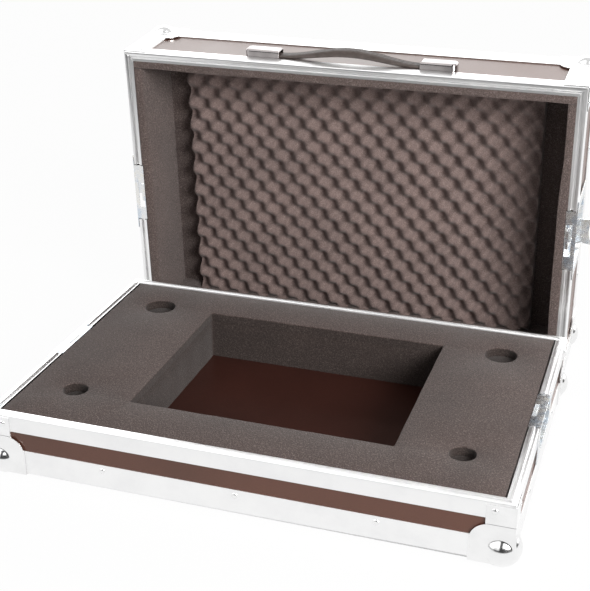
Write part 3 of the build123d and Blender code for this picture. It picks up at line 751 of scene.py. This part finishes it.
# %% Profiled sheet by its formula
NUMBER, COUNT = "NodeSocketFloat", "NodeSocketInt"
tree, given, out = geometry_tree("profiled_sheet", {
    "Width": (NUMBER, 0.485), "Length": (NUMBER, 0.356), "Pitch X": (NUMBER, 0.031), "Pitch Y": (NUMBER, 0.031),
    "Base": (NUMBER, 0.008), "Bump": (NUMBER, 0.020), "Shift X": (NUMBER, 0.0), "Shift Y": (NUMBER, 0.0),
    "Broadness": (NUMBER, 1.8), "Columns": (COUNT, 188), "Rows": (COUNT, 138)})
size = add_node(tree, "ShaderNodeCombineXYZ", {"X": given["Width"], "Y": given["Length"], "Z": 1.0})
block = add_node(tree, "GeometryNodeMeshCube", {"Size": size.outputs[0], "Vertices X": given["Columns"],
                                                "Vertices Y": given["Rows"], "Vertices Z": 2})
where = add_node(tree, "ShaderNodeSeparateXYZ", {"Vector": add_node(tree, "GeometryNodeInputPosition").outputs[0]})
waves = []
for axis in "XY":
    turn = math_node(tree, "DIVIDE", 2 * math.pi, given[f"Pitch {axis}"])
    moved = math_node(tree, "ADD", where.outputs[axis], given[f"Shift {axis}"])
    waves.append(math_node(tree, "COSINE", math_node(tree, "MULTIPLY", moved, turn)))
field = math_node(tree, "MULTIPLY", waves[0], waves[1])
below_peak = math_node(tree, "MULTIPLY_ADD", field, -0.5, 0.5)
share = math_node(tree, "SUBTRACT", 1.0, math_node(tree, "POWER", below_peak, given["Broadness"]))
lifted = math_node(tree, "MULTIPLY_ADD", share, given["Bump"], given["Base"])
upper = math_node(tree, "GREATER_THAN", where.outputs["Z"], 0.0)
level = math_node(tree, "MULTIPLY", lifted, upper)
spot = add_node(tree, "ShaderNodeCombineXYZ", {"X": where.outputs["X"], "Y": where.outputs["Y"], "Z": level})
shaped = add_node(tree, "GeometryNodeSetPosition", {"Geometry": block.outputs["Mesh"],
                                                    "Position": spot.outputs[0]})
close_tree(tree, out, shaped.outputs[0], profile_foam)

EGG_W, EGG_L = 0.485, CASE_D - 2 * LINING_IN - 0.0008
peak_x, peak_y = 0.0766, 0.1965
egg_values = {"Width": EGG_W, "Length": EGG_L, "Pitch X": 0.03065, "Pitch Y": 0.03266, "Base": 0.011,
              "Bump": 0.017, "Shift X": CASE_W / 2 - peak_x, "Shift Y": CASE_D / 2 - peak_y,
              "Broadness": 1.09, "Columns": 190, "Rows": 138}
egg_mesh = grown_mesh("profiled_sheet", tree, egg_values)
egg_place = IN_LID @ Matrix.Translation((CASE_W / 2, CASE_D / 2, FOAM_TOP + 0.0002))
profiled = add_piece("profiled_sheet", egg_mesh, egg_place, profile_foam, "lid", sharp=70.0)
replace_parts(profiled, "egg_crate_foam")

# %% [markdown]
# ## Ball corners
# Each is pressed from one steel sheet: three plates with rounded ends, and a ball where they
# meet, big enough to hide the case's own corner. The shape has a rule. A point of a plate is
# carried along its ray from the middle of the ball, to the plate or to the ball, whichever is
# further out, and a smooth maximum gives the soft fold between them that a press leaves. Between
# the middle of the ball and the corner it is always the ball.

# %% Ball corner shape
BALL_IN, BALL_R, PLATE, PLATE_ROUND = 0.013, 0.021, 0.046, 0.022


def plate_reach(dx, dy):
    """Distance from the plate's inner corner to its rounded outline, along a direction."""
    reach, centre = PLATE + SHEET, PLATE + SHEET - PLATE_ROUND
    if dx > 0 and reach / dx * dy <= centre:
        return reach / dx
    if dy > 0 and reach / dy * dx <= centre:
        return reach / dy
    along = centre * (dx + dy)
    return along + math.sqrt(max(0.0, along ** 2 - 2 * centre ** 2 + PLATE_ROUND ** 2))


def pressed_point(point):
    """Carry a plate's point to the ball, where the ball is further out or hides the corner."""
    middle = Vector((BALL_IN,) * 3)
    ray = point - middle
    behind = min(max(0.0, BALL_IN - point.x), max(0.0, BALL_IN - point.y))
    flat = math.sqrt(ray.length_squared - 2 * behind ** 2) if behind > 0 else ray.length
    soft = 0.0018
    blend = max(0.0, soft - abs(flat - BALL_R)) / soft
    return middle + ray * ((max(flat, BALL_R) + blend * blend * soft / 4) / ray.length)


def ball_corner(work, steps=40):
    """Three plates round the corner, each a grid of pressed points."""
    for turn_axes in range(3):
        rows = []
        for i in range(steps + 1):
            row = []
            for j in range(steps + 1):
                u, v = i / steps, j / steps
                far = max(u, v)
                if far == 0:
                    across, up = 0.0, 0.0
                else:
                    length = math.hypot(u, v)
                    reach = plate_reach(u / length, v / length) * far
                    across, up = reach * u / length, reach * v / length
                flat = pressed_point(Vector((across - SHEET, up - SHEET, -SHEET)))
                row.append([flat[(k + turn_axes) % 3] for k in range(3)])
            rows.append(row)
        grid_skin(work, rows, closed=False)


def outward(mesh):
    """Turn a pressed sheet's faces away from the case's middle."""
    far_inside = Vector((0.05, 0.05, 0.05))
    first = mesh.polygons[0]
    if first.normal.dot(first.center - far_inside) < 0:
        mesh.flip_normals()


CORNER_FRAMES = {"near_left": NEAR_LEFT, "near_right": NEAR_RIGHT, "far_right": FAR_RIGHT, "far_left": FAR_LEFT}
BASE_NAMES = {"near_left": "front_left", "near_right": "front_right", "far_right": "rear_right",
              "far_left": "rear_left"}
LID_NAMES = {"near_left": "rear_left", "near_right": "rear_right", "far_right": "front_right",
             "far_left": "front_left"}
pressed = mesh_from("pressed_corner", ball_corner)
outward(pressed)
for body, place, names in (("base", IN_BASE, BASE_NAMES), ("lid", IN_LID, LID_NAMES)):
    for corner, spot in CORNER_FRAMES.items():
        name = f"{body}_pressed_corner_{names[corner]}"
        piece = add_piece(name, pressed.copy(), place @ spot, pressed_steel, body, sharp=60.0)
        wall = piece.modifiers.new("wall", "SOLIDIFY")
        wall.thickness, wall.offset = SHEET - 0.00005, -1.0
        fold = piece.modifiers.new("fold", "BEVEL")
        fold.width, fold.segments, fold.limit_method = 0.0004, 2, "ANGLE"
        fold.angle_limit, fold.harden_normals = math.radians(50), True
        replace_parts(piece, f"{body}_ball_corner_{names[corner]}")

# %% [markdown]
# ## Rivets
# The profiles, corners and brackets are held by rivets with low domed heads. They are all
# alike, so a Geometry Nodes tree puts one head on every point of a small carrier mesh, turned to
# the direction kept with the point.

# %% Rivet tree
tree, given, out = geometry_tree("rivet_heads", {
    "Points": ("NodeSocketGeometry", None), "Radius": (NUMBER, 0.0036), "Rise": (NUMBER, 0.0014),
    "Sides": (COUNT, 18)})
ball = add_node(tree, "GeometryNodeMeshUVSphere", {"Segments": given["Sides"], "Rings": 8,
                                                   "Radius": given["Radius"]})
squash = math_node(tree, "DIVIDE", given["Rise"], given["Radius"])
low = add_node(tree, "ShaderNodeCombineXYZ", {"X": 1.0, "Y": 1.0, "Z": squash})
head = add_node(tree, "GeometryNodeTransform", {"Geometry": ball.outputs["Mesh"], "Scale": low.outputs[0]})
facing = add_node(tree, "GeometryNodeInputNamedAttribute", {"Name": "out"}, data_type="FLOAT_VECTOR")
aim = add_node(tree, "FunctionNodeAlignRotationToVector", {"Vector": facing.outputs["Attribute"]}, axis="Z")
heads = add_node(tree, "GeometryNodeInstanceOnPoints", {
    "Points": given["Points"], "Instance": head.outputs[0], "Rotation": aim.outputs[0]})
close_tree(tree, out, heads.outputs[0], pressed_steel)
rivet_tree = tree

# %% Rivet places


def rivets_along(wall, height, along, up):
    """Rivets on a wall: places along it at a height, in its tray, with the way they face."""
    place, length = WALLS[wall]
    out_of = place.to_3x3() @ Vector((0, -1, 0))
    return [(place @ Vector((x, 0, up)), out_of) for x in along(length)]


def spread(count, margin):
    """Even places along a wall, clear of the corners."""
    return lambda length: [margin + (length - 2 * margin) * k / (count - 1) for k in range(count)]


def tray_rivets(height, standing_on=None):
    """All rivets of one tray; the brackets that it stands on have theirs countersunk."""
    spots = []
    for wall in WALLS:
        count = 3 if wall in ("near", "far") else 2
        edge = (lambda length: [0.143, 0.300, 0.457]) if count == 3 else spread(2, 0.110)
        spots += rivets_along(wall, height, edge, 0.0225)
        place, length = WALLS[wall]
        down = Vector((0, 0, -1))
        spots += [(place @ Vector((x, 0.022, 0)), down) for x in edge(length)]
        if wall == standing_on:
            continue
        ends = lambda length: [0.021, length - 0.021]
        spots += [(point + out_of * SHEET, out_of) for point, out_of in
                  rivets_along(wall, height, ends, height - 0.0105)]
    return spots


def add_rivets(name, spots, place, body):
    """Grow the rivet heads of one body as one piece."""
    carrier = bpy.data.meshes.new(name)
    carrier.from_pydata([tuple(point) for point, _ in spots], [], [])
    facing = carrier.attributes.new("out", "FLOAT_VECTOR", "POINT")
    for item, (_, out_of) in zip(facing.data, spots):
        item.vector = out_of
    values = {"Radius": 0.0036, "Rise": 0.0014, "Sides": 18}
    mesh = grown_mesh(name, rivet_tree, values, carrier)
    return add_piece(name, mesh, place, pressed_steel, body)


# %% [markdown]
# ## Strap handle
# The strap is swept: a rounded section with three grooves along its back, thicker and further
# from the wall in the middle than at the ends. The domed end caps are pressed shells.

# %% Strap
CAP_DROP, CAP_W, CAP_H, CAP_L, HANDLE_L = 0.0206, 0.019, 0.0105, 0.046, 0.276
STRAP_W, STRAP_END, STRAP_MID, STRAP_RISE, STRAP_GAP = 0.015, 0.0045, 0.0092, 0.0082, 0.0004
place, length = WALLS["far"]
AT_HANDLE = IN_LID @ place @ Matrix.Translation((length / 2, SKIN, LID_H - CAP_DROP - CAP_W / 2))


def strap_section(x):
    """Rounded section of the strap: (out from the wall, across) points."""
    arch = 0.5 + 0.5 * math.cos(math.pi * min(1.0, abs(x) / (HANDLE_L / 2 - CAP_L)))
    low = STRAP_GAP + (STRAP_RISE - STRAP_GAP) * arch
    thick = STRAP_END + (STRAP_MID - STRAP_END) * arch
    half, round_r = STRAP_W / 2, min(0.0018, thick / 2 - 0.0002)
    points = []
    for sign_across, sign_out, start in ((1, 1, 0), (-1, 1, 90), (-1, -1, 180), (1, -1, 270)):
        for t in (0, 30, 60, 90):
            angle = math.radians(start + t)
            across = sign_across * (half - round_r) + round_r * math.cos(angle)
            out_by = (high_mid := thick / 2) + sign_out * (high_mid - round_r) + round_r * math.sin(angle)
            points.append((low + out_by, across))
        if start == 0:
            back = [half - round_r - (STRAP_W - 2 * round_r) * k / 36 for k in range(1, 36)]
            for across in back:
                dip = sum(math.exp(-((across - g * STRAP_W) / 0.0006) ** 2) for g in (-0.3, 0.0, 0.3))
                points.append((low + thick - 0.0013 * min(1.0, dip), across))
    return points


def strap(work):
    reach = 0.116
    stations = [-reach + 2 * reach * k / 96 for k in range(97)]
    rows = [[(x, -out_by, across) for out_by, across in strap_section(x)] for x in stations]
    verts = grid_skin(work, rows)
    for row in (verts[0], verts[-1]):
        work.faces.new(row)


strap_piece = add_piece("grooved_strap", mesh_from("grooved_strap", strap), AT_HANDLE, strap_plastic,
                        "handle_strap", sharp=50.0)
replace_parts(strap_piece, "handle_strap")

# %% [markdown]
# ## Metal parts with their edges broken
# The shapes of profiles, brackets, dishes, latches and handle caps are right in the CAD, but its
# edges are perfectly sharp, and sharp edges catch no light. Each such node is copied, its loose
# triangles are merged and joined into flat faces, and a narrow bevel breaks the edges, as a
# tumbled or deburred part has them.

# %% Break the edges of the CAD's metal nodes


def broken_edges(name, width):
    """Copy of a CAD node with merged faces and a narrow bevel; it replaces the node."""
    node = frame["nodes"][name]
    work = bmesh.new()
    work.from_mesh(node.data)
    bmesh.ops.remove_doubles(work, verts=work.verts, dist=3e-6)
    bmesh.ops.dissolve_limit(work, angle_limit=math.radians(1.0), verts=work.verts, edges=work.edges)
    mesh = bpy.data.meshes.new(name + "_deburred")
    work.to_mesh(mesh)
    work.free()
    body = node.parent.name.split(":")[1]
    material = finish_of(name)
    piece = add_piece(name + "_deburred", mesh, Matrix.Identity(4), material, body, sharp=32.0)
    bevel = piece.modifiers.new("broken_edge", "BEVEL")
    bevel.width, bevel.segments, bevel.limit_method = width, 2, "ANGLE"
    bevel.angle_limit, bevel.harden_normals = math.radians(32), True
    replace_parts(piece, name)


for name in list(frame["nodes"]):
    if "ball_corner" in name:
        continue
    if "_rim_" in name and not name.startswith("latch") or "_edge_" in name or "angles" in name:
        broken_edges(name, 0.0003)
    elif "bracket" in name or "dish" in name or name.startswith("latch"):
        broken_edges(name, 0.00025)
    elif name == "handle_caps":
        broken_edges(name, 0.0009)

# %% Rivets of the base and the lid
add_rivets("base_rivets", tray_rivets(BASE_H), IN_BASE, "base")
add_rivets("lid_rivets", tray_rivets(LID_H, standing_on="near"), IN_LID, "lid")

# %% Size of the dressed case
low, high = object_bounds()
